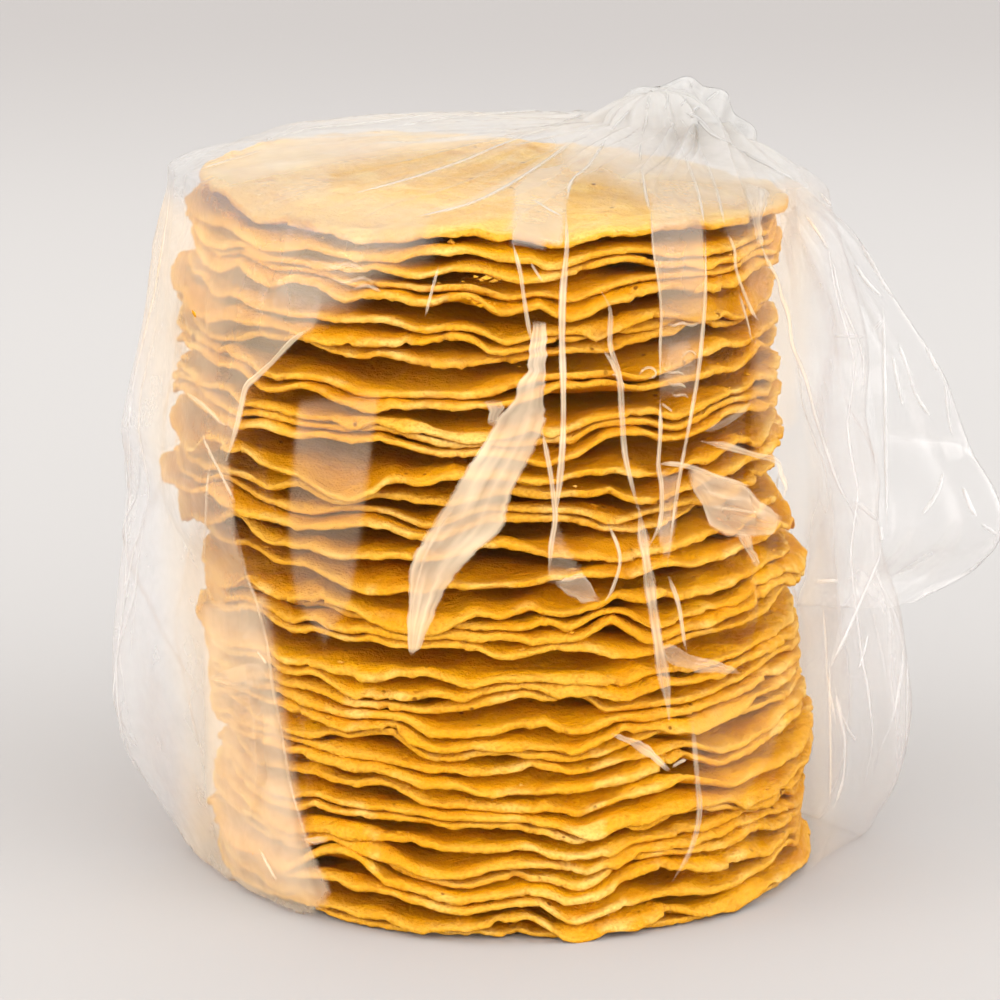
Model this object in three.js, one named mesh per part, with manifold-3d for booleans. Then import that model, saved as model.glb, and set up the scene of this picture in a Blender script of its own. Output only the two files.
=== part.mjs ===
// A tall stack of tostadas sealed in a clear film bag.
//
// The bag is one solid, out to the film's outer face. Its wall hugs the stack at
// the front and back and stands off it at the left and right, where the spare
// width of the film lies in two upright flaps. The top closes in a puffed, pleated
// cone to a gathered neck behind and to the right of the middle. From the neck a
// short fan of spare film stands up, and a long wing of doubled film falls from
// the right shoulder, clear of the stack.
//
// Millimetres, +Z up. The origin is the middle of the flat base, on the axis of
// the lower half of the stack. +X is the side of the wing, -Y is the front.

import * as THREE from 'three';
import { mergeVertices } from 'three/addons/utils/BufferGeometryUtils.js';
import Module from 'manifold-3d';

// ---- Driving dimensions ----

const TOSTADA_RADIUS = 67.5;
const STACK_HEIGHT = 152;
const FILM_CLEARANCE = 1.5;       // film to the mean edge of the tostadas
const WALL_RADIUS = TOSTADA_RADIUS + FILM_CLEARANCE;

const NECK = { x: 33, y: 18, z: 167, radius: 9, rise: 5 };

// How far the stack's middle lies off the axis, along X, at these heights: the
// upper tostadas have slid towards the left flap, the lowest few to the right.
const STACK_LEAN = [
  { z: 0, shift: 2.5 },
  { z: 30, shift: 2 },
  { z: 50, shift: 0 },
  { z: 84, shift: -0.5 },
  { z: 100, shift: -5 },
  { z: 140, shift: -5 },
  { z: 154, shift: -3 },
];

// How far each flap's fold stands off the wall at these heights.
const LEFT_FLAP = {
  angle: Math.PI,
  reach: [
    { z: 0, shift: 4 },
    { z: 8, shift: 10 },
    { z: 24, shift: 19 },
    { z: 44, shift: 19 },
    { z: 80, shift: 14.5 },
    { z: 108, shift: 9.5 },
    { z: 130, shift: 3.5 },
    { z: 154, shift: 1.5 },
  ],
};
const RIGHT_FLAP = {
  angle: 0.1,
  reach: [
    { z: 0, shift: 23 },
    { z: 24, shift: 25 },
    { z: 56, shift: 24 },
    { z: 70, shift: 19 },
    { z: 116, shift: 21 },
    { z: 138, shift: 14 },
    { z: 154, shift: 5 },
  ],
};

// Long upright creases in the wall: where they stand, how far they stand out,
// how wide they are, how they drift round the wall from base to shoulder, and
// the heights they run between.
const WALL_CREASES = [
  { angle: -1.36, height: 1.6, width: 4.5, drift: 0.03, from: 74, to: 156 },
  { angle: -1.06, height: 1.5, width: 4.5, drift: -0.12, from: 30, to: 118 },
  { angle: -0.9, height: 1.4, width: 4, drift: 0.16, from: 54, to: 112 },
  { angle: -2.46, height: 1.3, width: 6, drift: 0.1, from: 8, to: 96 },
  { angle: 1.25, height: 1.6, width: 5, drift: 0.08, from: 20, to: 150 },
  { angle: 1.75, height: 1.3, width: 5, drift: -0.1, from: 44, to: 156 },
  { angle: 2.4, height: 1.5, width: 6, drift: -0.06, from: 12, to: 130 },
];
const CREASE_FADE = 18;

const SHOULDER_HEIGHT = STACK_HEIGHT + 1;
const BASE_EDGE = { height: 4, inset: 3.5 };

// The cone's pleats, counted round the neck. depth is the share of the neck's
// radius by which they pinch it, and swirl is how many pleats they turn by.
const PLEATS = { count: 20, height: 1.5, swirl: 0.9, depth: 0.14 };

// The neck's rounded top, as shares of its radius at these drops below its end.
const NECK_TOP = [
  { drop: 2, share: 0.86 },
  { drop: 0, share: 0.6 },
];

// How much of the cone's rise comes at once at the shoulder: it is blown up like
// a cushion at the left and taut at the front and right.
const PUFF = { least: 0.12, most: 0.62, angle: 2.75, spread: 1.5, over: 0.07 };

// The wing: its root lies inside the wall, and its free edge runs from the
// right shoulder out to the tip and back along the hem.
const WING_ROOT = [
  [58, 14, 151],
  [62, 16, 120],
  [64, 16, 88],
  [66, 16, 64],
  [68, 16, 53],
];
const WING_EDGE = [
  [66, 14, 153],
  [80, 20, 140],
  [93, 25, 120],
  [103, 28, 103],
  [110, 27, 87],
  [116.5, 24, 71],
  [111, 25, 59],
  [99, 24, 53],
  [90, 21, 51],
];
const WING_WAVE = { count: 3.2, height: 2.2, slant: 0.35 };

// The fan of spare film over the neck, just behind the ridge that runs from the
// neck to the right shoulder.
const FAN_ROOT = [
  [29, 19, 165],
  [38, 20, 161],
  [47, 20, 156],
  [55, 18, 152],
];
const FAN_EDGE = [
  [27, 27, 169],
  [36, 31, 172.5],
  [46, 33, 172.5],
  [53, 34, 167.5],
  [58, 33, 160],
  [61, 28, 153],
];
const FAN_WAVE = { count: 4.5, height: 1.5, slant: 0.2 };

const SHEET_THICKNESS = 2.4;

// ---- How finely the surfaces are divided ----

const AROUND = 120;
const WALL_RINGS = 17;
const WALL_END_CROWDING = 0.45;   // 0 spaces the wall's rings evenly
const CONE_RINGS = 10;
const CONE_CROWDING = 1.25;       // 1 spaces the cone's rings evenly
const WING_STEPS = { along: 20, across: 7 };
const FAN_STEPS = { along: 16, across: 5 };
const DERIVATIVE_STEP = 0.004;

// ---- Small helpers ----

const TURN = 2 * Math.PI;

function smooth(t) {
  const s = THREE.MathUtils.clamp(t, 0, 1);
  return s * s * (3 - 2 * s);
}

function atHeight(table, z) {
  const upper = table.findIndex((entry) => entry.z >= z);
  if (upper === 0) {
    return table[0].shift;
  }
  if (upper < 0) {
    return table[table.length - 1].shift;
  }
  const a = table[upper - 1];
  const b = table[upper];
  return THREE.MathUtils.lerp(a.shift, b.shift, smooth((z - a.z) / (b.z - a.z)));
}

function turnBetween(a, b) {
  return THREE.MathUtils.euclideanModulo(a - b + Math.PI, TURN) - Math.PI;
}

// ---- The wall ----

// A circle of the wall's radius whose middle has slid along X.
function hugRadius(angle, z) {
  const shift = atHeight(STACK_LEAN, z);
  const across = shift * Math.sin(angle);
  return shift * Math.cos(angle) + Math.sqrt(WALL_RADIUS ** 2 - across ** 2);
}

// Two straight runs of film from the fold of a flap to where they touch the wall.
function flapReach(flap, angle, z) {
  const reach = atHeight(flap.reach, z);
  const touch = Math.acos(WALL_RADIUS / (WALL_RADIUS + reach));
  const away = Math.abs(turnBetween(angle, flap.angle));
  if (away >= touch) {
    return 0;
  }
  return WALL_RADIUS / Math.cos(touch - away) - WALL_RADIUS;
}

function creaseHeight(crease, angle, z) {
  const run = (z - crease.from) / (crease.to - crease.from);
  const here = crease.angle + crease.drift * run;
  const off = (turnBetween(angle, here) * WALL_RADIUS) / crease.width;
  const start = smooth((z - crease.from) / CREASE_FADE);
  const end = smooth((crease.to - z) / CREASE_FADE);
  return crease.height * start * end * Math.exp(-off * off);
}

function wallRadius(angle, z) {
  let radius = hugRadius(angle, z);
  radius += flapReach(LEFT_FLAP, angle, z);
  radius += flapReach(RIGHT_FLAP, angle, z);
  for (const crease of WALL_CREASES) {
    radius += creaseHeight(crease, angle, z);
  }
  const underEdge = 1 - smooth(z / BASE_EDGE.height);
  return radius - BASE_EDGE.inset * underEdge;
}

function wallPoint(angle, z) {
  const radius = wallRadius(angle, z);
  return new THREE.Vector3(radius * Math.cos(angle), radius * Math.sin(angle), z);
}

// ---- The pleated cone and the neck ----

function neckPoint(angle, z, radius) {
  const pleated = radius * (1 + PLEATS.depth * Math.sin(PLEATS.count * angle));
  const x = NECK.x + pleated * Math.cos(angle);
  const y = NECK.y + pleated * Math.sin(angle);
  return new THREE.Vector3(x, y, z);
}

function coneRise(angle, t) {
  const away = turnBetween(angle, PUFF.angle) / PUFF.spread;
  const puff = PUFF.least + (PUFF.most - PUFF.least) * Math.exp(-away * away);
  return puff * (1 - Math.exp(-t / PUFF.over)) + (1 - puff) * t;
}

function conePoint(angle, t) {
  const shoulder = wallPoint(angle, SHOULDER_HEIGHT);
  const neck = neckPoint(angle, NECK.z, NECK.radius);
  const point = shoulder.clone().lerp(neck, t);
  const ripple = Math.sin(PLEATS.count * angle + PLEATS.swirl * TURN * t);
  const rise = (neck.z - shoulder.z) * coneRise(angle, t);
  point.z = shoulder.z + rise + PLEATS.height * ripple * Math.sin(Math.PI * t);
  return point;
}

function bagRings() {
  const rings = [];
  for (let step = 0; step <= WALL_RINGS; step += 1) {
    const share = step / WALL_RINGS;
    const crowded = THREE.MathUtils.lerp(share, smooth(share), WALL_END_CROWDING);
    const z = SHOULDER_HEIGHT * crowded;
    rings.push((angle) => wallPoint(angle, z));
  }
  for (let step = 1; step <= CONE_RINGS; step += 1) {
    const t = (step / CONE_RINGS) ** CONE_CROWDING;
    rings.push((angle) => conePoint(angle, t));
  }
  for (const { drop, share } of NECK_TOP) {
    const z = NECK.z + NECK.rise - drop;
    rings.push((angle) => neckPoint(angle, z, NECK.radius * share));
  }
  return rings;
}

function closedMesh(vertices, triangles) {
  const geometry = new THREE.BufferGeometry();
  const flat = vertices.flatMap((v) => [v.x, v.y, v.z]);
  geometry.setAttribute('position', new THREE.Float32BufferAttribute(flat, 3));
  geometry.setIndex(triangles);
  return mergeVertices(geometry, 1e-4);
}

function bagBody() {
  const rings = bagRings();
  const vertices = [];
  const triangles = [];
  for (const ring of rings) {
    for (let i = 0; i < AROUND; i += 1) {
      vertices.push(ring((TURN * i) / AROUND));
    }
  }
  const base = vertices.length;
  vertices.push(new THREE.Vector3(0, 0, 0));
  const crown = vertices.length;
  vertices.push(new THREE.Vector3(NECK.x, NECK.y, NECK.z + NECK.rise));

  for (let i = 0; i < AROUND; i += 1) {
    const next = (i + 1) % AROUND;
    triangles.push(base, next, i);
    for (let row = 0; row < rings.length - 1; row += 1) {
      const a = row * AROUND + i;
      const b = row * AROUND + next;
      triangles.push(a, b, b + AROUND);
      triangles.push(a, b + AROUND, a + AROUND);
    }
    const last = (rings.length - 1) * AROUND;
    triangles.push(last + i, last + next, crown);
  }
  return closedMesh(vertices, triangles);
}

// ---- Loose sheets of doubled film ----

function curveThrough(points) {
  const knots = points.map((p) => new THREE.Vector3(...p));
  return new THREE.CatmullRomCurve3(knots, false, 'centripetal');
}

// A wavy sheet with thickness between a root curve and a free edge.
function filmSheet(rootPoints, edgePoints, wave, steps) {
  const root = curveThrough(rootPoints);
  const edge = curveThrough(edgePoints);

  const ruled = (u, v) => root.getPoint(u).lerp(edge.getPoint(u), v);
  const normalAt = (u, v) => {
    const u0 = THREE.MathUtils.clamp(u, DERIVATIVE_STEP, 1 - DERIVATIVE_STEP);
    const v0 = THREE.MathUtils.clamp(v, DERIVATIVE_STEP, 1 - DERIVATIVE_STEP);
    const along = ruled(u0 + DERIVATIVE_STEP, v0).sub(ruled(u0 - DERIVATIVE_STEP, v0));
    const across = ruled(u0, v0 + DERIVATIVE_STEP).sub(ruled(u0, v0 - DERIVATIVE_STEP));
    return along.cross(across).normalize();
  };
  const face = (u, v, side) => {
    const normal = normalAt(u, v);
    const ripple = Math.sin(TURN * (wave.count * u + wave.slant * v));
    const offset = wave.height * v * ripple + (side * SHEET_THICKNESS) / 2;
    return ruled(u, v).addScaledVector(normal, offset);
  };

  const vertices = [];
  const triangles = [];
  const perRow = steps.across + 1;
  const perSide = (steps.along + 1) * perRow;
  for (const side of [1, -1]) {
    for (let i = 0; i <= steps.along; i += 1) {
      for (let j = 0; j <= steps.across; j += 1) {
        vertices.push(face(i / steps.along, j / steps.across, side));
      }
    }
  }
  const quad = (a, b, c, d) => {
    triangles.push(a, b, c);
    triangles.push(a, c, d);
  };
  for (let i = 0; i < steps.along; i += 1) {
    for (let j = 0; j < steps.across; j += 1) {
      const a = i * perRow + j;
      const b = a + perRow;
      quad(a, b, b + 1, a + 1);
      quad(perSide + a + 1, perSide + b + 1, perSide + b, perSide + a);
    }
    const rootHere = i * perRow;
    const rootNext = rootHere + perRow;
    quad(rootNext, rootHere, perSide + rootHere, perSide + rootNext);
    const edgeHere = rootHere + steps.across;
    const edgeNext = rootNext + steps.across;
    quad(edgeHere, edgeNext, perSide + edgeNext, perSide + edgeHere);
  }
  const lastRow = steps.along * perRow;
  for (let j = 0; j < steps.across; j += 1) {
    quad(j, j + 1, perSide + j + 1, perSide + j);
    const a = lastRow + j;
    quad(a + 1, a, perSide + a, perSide + a + 1);
  }
  return closedMesh(vertices, triangles);
}

// ---- Joining the sheets to the bag ----

const wasm = await Module();
wasm.setup();

function solidOf(geometry) {
  const vertProperties = new Float32Array(geometry.getAttribute('position').array);
  const triVerts = new Uint32Array(geometry.getIndex().array);
  return new wasm.Manifold(new wasm.Mesh({ numProp: 3, vertProperties, triVerts }));
}

function geometryOf(solid) {
  const mesh = solid.getMesh();
  const geometry = new THREE.BufferGeometry();
  geometry.setAttribute('position', new THREE.BufferAttribute(mesh.vertProperties, 3));
  geometry.setIndex(new THREE.BufferAttribute(mesh.triVerts, 1));
  geometry.computeVertexNormals();
  return geometry;
}

function bagGeometry() {
  const wing = filmSheet(WING_ROOT, WING_EDGE, WING_WAVE, WING_STEPS);
  const fan = filmSheet(FAN_ROOT, FAN_EDGE, FAN_WAVE, FAN_STEPS);
  const joined = solidOf(bagBody()).add(solidOf(wing)).add(solidOf(fan));
  return geometryOf(joined);
}

const filmMaterial = new THREE.MeshStandardMaterial({
  color: 0xe8b458,
  roughness: 0.25,
  metalness: 0,
});

const bag = new THREE.Mesh(bagGeometry(), filmMaterial);
bag.name = 'bag';

const group = new THREE.Group();
group.add(bag);

export default group;
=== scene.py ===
import math

import bpy
import numpy as np
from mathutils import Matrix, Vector
from mathutils.bvhtree import BVHTree


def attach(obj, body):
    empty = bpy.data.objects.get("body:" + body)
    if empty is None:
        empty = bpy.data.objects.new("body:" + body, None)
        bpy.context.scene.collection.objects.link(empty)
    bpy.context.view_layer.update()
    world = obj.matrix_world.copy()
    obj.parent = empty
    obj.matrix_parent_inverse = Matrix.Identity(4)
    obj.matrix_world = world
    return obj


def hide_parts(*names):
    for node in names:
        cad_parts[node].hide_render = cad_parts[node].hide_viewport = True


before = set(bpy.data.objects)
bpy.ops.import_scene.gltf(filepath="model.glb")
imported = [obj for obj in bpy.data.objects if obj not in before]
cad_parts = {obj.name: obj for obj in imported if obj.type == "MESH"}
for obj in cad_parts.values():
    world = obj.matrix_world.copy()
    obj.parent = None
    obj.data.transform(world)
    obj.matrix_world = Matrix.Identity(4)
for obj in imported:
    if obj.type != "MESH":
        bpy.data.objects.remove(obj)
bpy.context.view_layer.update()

# Lengths are millimetres until a mesh is made.
MM = 0.001
TURN = 2 * math.pi

# ---- Driving dimensions: the radius, the clearance and the lean are the CAD's ----

TOSTADA_RADIUS = 67.5
TOSTADA_COUNT = 41
LOWEST_LEVEL = 1.3
HIGHEST_LEVEL = 153.4
FILM_CLEARANCE = 1.5
WALL_RADIUS = TOSTADA_RADIUS + FILM_CLEARANCE

# How far the stack's middle lies off the axis, along X, at these heights.
LEAN_HEIGHTS = [0, 30, 50, 84, 100, 140, 154]
LEAN_SHIFTS = [2.5, 2, 0, -0.5, -5, -5, -3]

# ---- Camera, worked out from the stack's top and bottom rims in the photograph ----

CAMERA_DISTANCE = 932
CAMERA_HEIGHT = 307
CAMERA_PITCH = math.radians(13.57)
FOCAL_PIXELS = 4248
PICTURE_PIXELS = 1000

CAMERA_PLACE = np.array([0, -CAMERA_DISTANCE, CAMERA_HEIGHT])
SIGHT_AHEAD = np.array([0, math.cos(CAMERA_PITCH), -math.sin(CAMERA_PITCH)])
SIGHT_RIGHT = np.array([1.0, 0, 0])
SIGHT_DOWN = np.array([0, -math.sin(CAMERA_PITCH), -math.cos(CAMERA_PITCH)])


# ---- Numbers that vary smoothly ----

def smooth(t):
    s = np.clip(t, 0.0, 1.0)
    return s * s * (3 - 2 * s)


def hashed(ix, iy, iz, seed):
    """A fixed number from -1 to 1 for each point of a lattice."""
    h = (ix * 374761393 + iy * 668265263 + iz * 1440662683 + seed * 974634777) & 0xFFFFFFFF
    h = ((h ^ (h >> 13)) * 1274126177) & 0xFFFFFFFF
    h = ((h ^ (h >> 15)) * 1103515245) & 0xFFFFFFFF
    return (h ^ (h >> 16)) / 0x7FFFFFFF - 1.0


def noise(x, y, z, seed=0):
    """Smooth noise from -1 to 1 with features one unit across."""
    x, y, z = np.broadcast_arrays(x, y, z)
    cell = [np.floor(v).astype(np.int64) for v in (x, y, z)]
    part = [smooth(v - c) for v, c in zip((x, y, z), cell)]
    total = 0.0
    for corner in range(8):
        step = [(corner >> k) & 1 for k in range(3)]
        weight = 1.0
        for p, s in zip(part, step):
            weight = weight * (p if s else 1 - p)
        at = [c + s for c, s in zip(cell, step)]
        total = total + weight * hashed(*at, seed)
    return total


def ridged(x, y, z, seed, sharp=6):
    """1 along thin wandering lines and falling away on both sides."""
    return (1 - np.abs(noise(x, y, z, seed))) ** sharp


def lean(z):
    return np.interp(z, LEAN_HEIGHTS, LEAN_SHIFTS)


# ---- Meshes ----

def add_mesh(name, vertices, faces, material, smooth_faces=True, **attributes):
    """A piece from points in millimetres, a list of faces and numbers for each point."""
    mesh = bpy.data.meshes.new(name)
    mesh.from_pydata((np.asarray(vertices) * MM).tolist(), [], faces)
    mesh.polygons.foreach_set("use_smooth", [smooth_faces] * len(mesh.polygons))
    mesh.materials.append(material)
    for key, values in attributes.items():
        layer = mesh.attributes.new(key, "FLOAT", "POINT")
        layer.data.foreach_set("value", np.asarray(values, np.float32).ravel())
    mesh.update()
    piece = bpy.data.objects.new(name, mesh)
    bpy.context.scene.collection.objects.link(piece)
    return piece


def band_faces(low, low_count, high, high_count):
    """Faces between two rings of points, where one may have twice the other's points."""
    row = np.arange(min(low_count, high_count))
    following = (row + 1) % len(row)
    if low_count == high_count:
        return np.stack([low + row, low + following, high + following, high + row], axis=1).tolist()
    odd = 2 * row + 1
    even_next = (2 * row + 2) % (2 * len(row))
    if low_count > high_count:
        a, b, c = low + 2 * row, low + odd, low + even_next
        d, e = high + row, high + following
        triangles = [(a, b, d), (b, c, e), (b, e, d)]
    else:
        d, e = low + row, low + following
        a, b, c = high + 2 * row, high + odd, high + even_next
        triangles = [(d, b, a), (d, e, b), (e, c, b)]
    return np.concatenate([np.stack(t, axis=1) for t in triangles]).tolist()


def loft(rings):
    """Points and faces of a closed skin over rings of points, capped at both ends."""
    counts = [len(ring) for ring in rings]
    starts = np.concatenate([[0], np.cumsum(counts)])
    faces = []
    for k in range(len(rings) - 1):
        faces += band_faces(starts[k], counts[k], starts[k + 1], counts[k + 1])
    total = int(starts[-1])
    for hub, k, forward in ((total, 0, False), (total + 1, len(rings) - 1, True)):
        row = np.arange(counts[k]) + starts[k]
        following = np.roll(row, -1)
        ends = (row, following) if forward else (following, row)
        faces += np.stack([np.full(counts[k], hub), *ends], axis=1).tolist()
    hubs = [rings[0].mean(axis=0), rings[-1].mean(axis=0)]
    return np.vstack([*rings, *hubs]), faces


def grid_faces(index):
    """Four-cornered faces over rows of point numbers."""
    corners = [index[:-1, :-1], index[:-1, 1:], index[1:, 1:], index[1:, :-1]]
    return np.stack([corner.ravel() for corner in corners], axis=1)


# ---- The tostadas ----

RIM_STEPS = 720

# Rings of each face, as shares of the rim's radius, each with how many of the
# rim's steps it skips.
TOP_RINGS = [(0.3, 8), (0.58, 4), (0.76, 2), (0.84, 2), (0.89, 2), (0.925, 2), (0.952, 2), (0.973, 2),
             (0.987, 1)]
UNDER_RINGS = [(0.985, 1), (0.965, 2), (0.93, 2), (0.87, 2), (0.72, 4), (0.4, 8)]
CLOSE_TOP_RINGS = [(share, 2) for share in np.linspace(0.03, 0.97, 60)] + [(0.984, 2), (0.9935, 1)]

# Tostadas that stand out to one side in the photograph, counted from 0 at the
# bottom, and by how many millimetres.
SEEN_SHIFTS = {8: 2, 9: 3, 19: 2, 20: 2.5, 23: -3, 24: -5.5, 25: -4, 33: -3, 34: -2.5, 36: 1, 37: 1,
               38: 0.5, 39: 0.5, 40: 1.2}

# The top ones are a little smaller, in millimetres of radius.
SEEN_SIZES = {32: -1, 33: -1.5, 34: -1.5, 35: -2, 36: -2.5, 37: -2.5, 38: -2.2, 39: -2.4, 40: -2.8}

# Sags and arches of single rims that stand out in the photograph: which tostada,
# counted from 0 at the bottom, where round the rim in degrees, how wide and how deep.
SEEN_WAVES = [
    (37, -110, 17, -3.4),
    (36, -92, 6, 2.2),
    (33, -88, 12, -2.6),
    (32, -103, 30, -3.6),
    (30, -104, 12, -3.2),
    (20, -89, 9, 2.8),
    (19, -73, 9, 2.6),
    (16, -112, 10, -3.0),
    (12, -96, 14, -2.6),
    (9, -114, 9, 2.8),
    (5, -104, 13, -4.2),
    (3, -120, 11, 2.4),
    (1, -88, 10, 3.6),
    (1, -104, 8, 2.6),
]
CHANCE_WAVES = 190
WAVE_REACH = 2.0
INSIDE_WAVES = 3.0               # how far the middles wave, so that they rest on one another

# How much darker each face is, at these counts from the bottom: painted shade, deepest on the upper middle
# ones where their gaps lie in shade, and partly deeper toasting.
SHADE_AND_TOAST_COUNTS = [0, 8, 14, 20, 24, 30, 35, 38, 40]
SHADES_AND_TOASTS = [0.18, 0.08, 0.1, 0.16, 0.4, 0.5, 0.36, 0.1, 0.0]

# The top few tip, high on the left.
TIP_SLOPE = -0.052
TIP_FROM = 32

# The top one's wavy rim: degrees round it, and how far it lies above its mean.
TOP_RIM_TURNS = [-180, -151, -140, -121, -116, -108, -102, -93, -85, -79, -75, -71, -64, -58, -46, -42,
                 -16, 30, 110]
TOP_RIM_RISES = [0.5, 0.1, -2.6, -1.3, -2.8, -1.4, 0, 1.2, 1, -0.5, -0.2, 0.8, 1.9, 2, 2.3, 1.2,
                 1.3, 0, 0.4]
TOP_RIM_REACH = 2.4
# The top one's face is painted paler, as painted light falling on the stack's top.
TOP_LIT_PALENESS = 1.45              # the top one's face is paler than a rim, which is 1

# Some lie close together and some stand apart: the least and the most share of
# the mean distance between two.
CLOSEST = 0.45
FARTHEST = 1.6
NOTCH_STEPS = 4                  # rim steps over which a notch in the one below gives no way


def make_levels():
    rng = np.random.default_rng(12)
    steps = rng.uniform(CLOSEST, FARTHEST, TOSTADA_COUNT - 1)
    up = np.concatenate([[0], np.cumsum(steps)]) / steps.sum()
    return LOWEST_LEVEL + (HIGHEST_LEVEL - LOWEST_LEVEL) * up


LEVELS = make_levels()


def make_waves():
    """Places where a rim sags, with those below it, or arches, with those above."""
    rng = np.random.default_rng(77)
    waves = [(i, math.radians(turn), width, depth) for i, turn, width, depth in SEEN_WAVES]
    for _ in range(CHANCE_WAVES):
        index = int(rng.integers(1, TOSTADA_COUNT - 2))
        turn = rng.uniform(0, TURN)
        width = rng.uniform(5, 15)
        depth = rng.uniform(0.9, 2.6) * rng.choice([-1, 1])
        waves.append((index, turn, width, depth))
    return waves


WAVES = make_waves()


def blur(values, steps, axis, wraps):
    """Mean over neighbours along one axis."""
    total = np.zeros_like(values)
    size = values.shape[axis]
    for step in range(-steps, steps + 1):
        index = np.arange(size) + step
        index = index % size if wraps else np.clip(index, 0, size - 1)
        total += np.take(values, index, axis=axis)
    return total / (2 * steps + 1)


def spread_up(values, steps):
    """The highest of the neighbours round each ring."""
    return np.max([np.roll(values, step, axis=1) for step in range(-steps, steps + 1)], axis=0)


class Tostada:
    """One wavy fried disc, as heights over rings of points."""

    def __init__(self, index):
        self.index = index
        rng = np.random.default_rng(4100 + index)
        self.level = LEVELS[index]
        self.thickness = rng.uniform(1.45, 1.9)
        shift = lean(self.level) + SEEN_SHIFTS.get(index, 0)
        self.middle = np.array([shift + rng.normal(0, 0.9), rng.normal(0, 0.9)])
        self.size = TOSTADA_RADIUS * (1 + rng.normal(-0.004, 0.006)) + SEEN_SIZES.get(index, 0)
        self.cup = rng.normal(-0.2, 0.8)
        self.tip = TIP_SLOPE * smooth((index - TIP_FROM) / (TOSTADA_COUNT - 1 - TIP_FROM))
        self.is_top = index == TOSTADA_COUNT - 1
        if self.is_top:
            self.cup = 0
        self.angles = np.arange(RIM_STEPS) * TURN / RIM_STEPS
        self.top_rings = CLOSE_TOP_RINGS if self.is_top else TOP_RINGS
        self.rim = self.rim_radius()

    def around(self, scale, seed):
        """Noise that runs round the rim, with features about `scale` millimetres long."""
        k = TOSTADA_RADIUS / scale
        return noise(np.cos(self.angles) * k, np.sin(self.angles) * k, self.index * 7.3, seed)

    def rim_radius(self):
        """A little out of true, with a ragged, chipped rim."""
        out = 0.9 * self.around(42, 1) + 0.6 * self.around(10, 2) + 0.3 * self.around(3.6, 3)
        out -= 1.3 * smooth((self.around(4.2, 7) - 0.52) / 0.2)
        return self.size + out + 0.22 * self.around(1.5, 4)

    def points(self, shares):
        """X and Y over rings at these shares of the rim's radius."""
        r = np.outer(shares, self.rim)
        x = self.middle[0] + r * np.cos(self.angles)
        y = self.middle[1] + r * np.sin(self.angles)
        return x, y

    def free_height(self, x, y, share):
        """Its mid-surface before it meets the one below."""
        i = self.index
        from_top = TOSTADA_COUNT - 1 - i
        free = 1 - 0.8 * math.exp(-from_top / 1.5)
        spread = free * smooth((share - 0.35) / 0.65) ** 1.2
        h = self.level + self.cup * share ** 2 + self.tip * (x - self.middle[0])
        h = h + spread * 2.4 * noise(x / 32, y / 32, i * 0.6, 11)
        h = h + spread * 1.7 * noise(x / 13, y / 13, i * 0.85, 12)
        h = h + spread * 3.4 * (0.3 - np.abs(noise(x / 16, y / 16, i * 0.9, 15)))
        h = h + 0.55 * noise(x / 5.5, y / 5.5, i * 1.7, 13)
        h = h + 0.26 * noise(x / 2.4, y / 2.4, i * 1.7, 14)
        turn = np.degrees(np.arctan2(y, x - self.middle[0]))
        seen = np.interp(turn, TOP_RIM_TURNS, TOP_RIM_RISES, period=360)
        h = h + seen * smooth((share - 0.55) / 0.45) * math.exp(-from_top / TOP_RIM_REACH)
        h = h + spread * 0.7 * noise(x / 8, y / 8, i * 1.2, 17)
        inside = free * (1 - smooth((share - 0.6) / 0.3))
        h = h + inside * INSIDE_WAVES * noise(x / 17, y / 17, i * 3.7, 19)
        droop = 0.5 + 0.6 * noise(x / 22, y / 22, i * 2.1, 16)
        h = h - droop * smooth((share - 0.955) / 0.045) ** 1.5
        return h + free * self.waves(x, y)

    def waves(self, x, y):
        total = np.zeros_like(x)
        for index, turn, width, depth in WAVES:
            beyond = (self.index - index) * math.copysign(1, depth)
            if beyond < 0 or beyond > 9:
                continue
            here = self.middle + TOSTADA_RADIUS * np.array([math.cos(turn), math.sin(turn)])
            off = ((x - here[0]) ** 2 + (y - here[1]) ** 2) / width ** 2
            total += depth * math.exp(-beyond / WAVE_REACH) * np.exp(-off)
        return total

    def blisters(self, x, y):
        """Low bubbles in the top face."""
        rng = np.random.default_rng(900 + self.index)
        total = np.zeros_like(x)
        for _ in range(34):
            turn = rng.uniform(0, TURN)
            away = self.size * math.sqrt(rng.uniform(0, 0.96))
            here = self.middle + away * np.array([math.cos(turn), math.sin(turn)])
            radius = rng.uniform(1.4, 4.5)
            rise = radius * rng.uniform(0.08, 0.2)
            off = ((x - here[0]) ** 2 + (y - here[1]) ** 2) / radius ** 2
            total += rise * smooth(1.3 - off)
        return total

    def settle(self, below):
        """Heights of the mid-surface, held up by the one below at this one's own points.

        Blisters and the stretches between points aren't held, so neighbours can run
        a little into each other.
        """
        shares = np.array([share for share, _ in self.top_rings] + [1.0])
        x, y = self.points(shares)
        share = shares[:, None] * np.ones_like(x)
        h = self.free_height(x, y, share)
        half = self.thickness / 2
        held = half + 0.55 + 0 * h if below is None else below.top_at(x, y) + half + 0.12
        held = blur(spread_up(held, NOTCH_STEPS), NOTCH_STEPS, 1, True)
        gap = h - held
        self.heights = held + 0.5 * (gap + np.sqrt(gap * gap + 0.09))
        self.shares = shares
        self.xy = (x, y)

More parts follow.
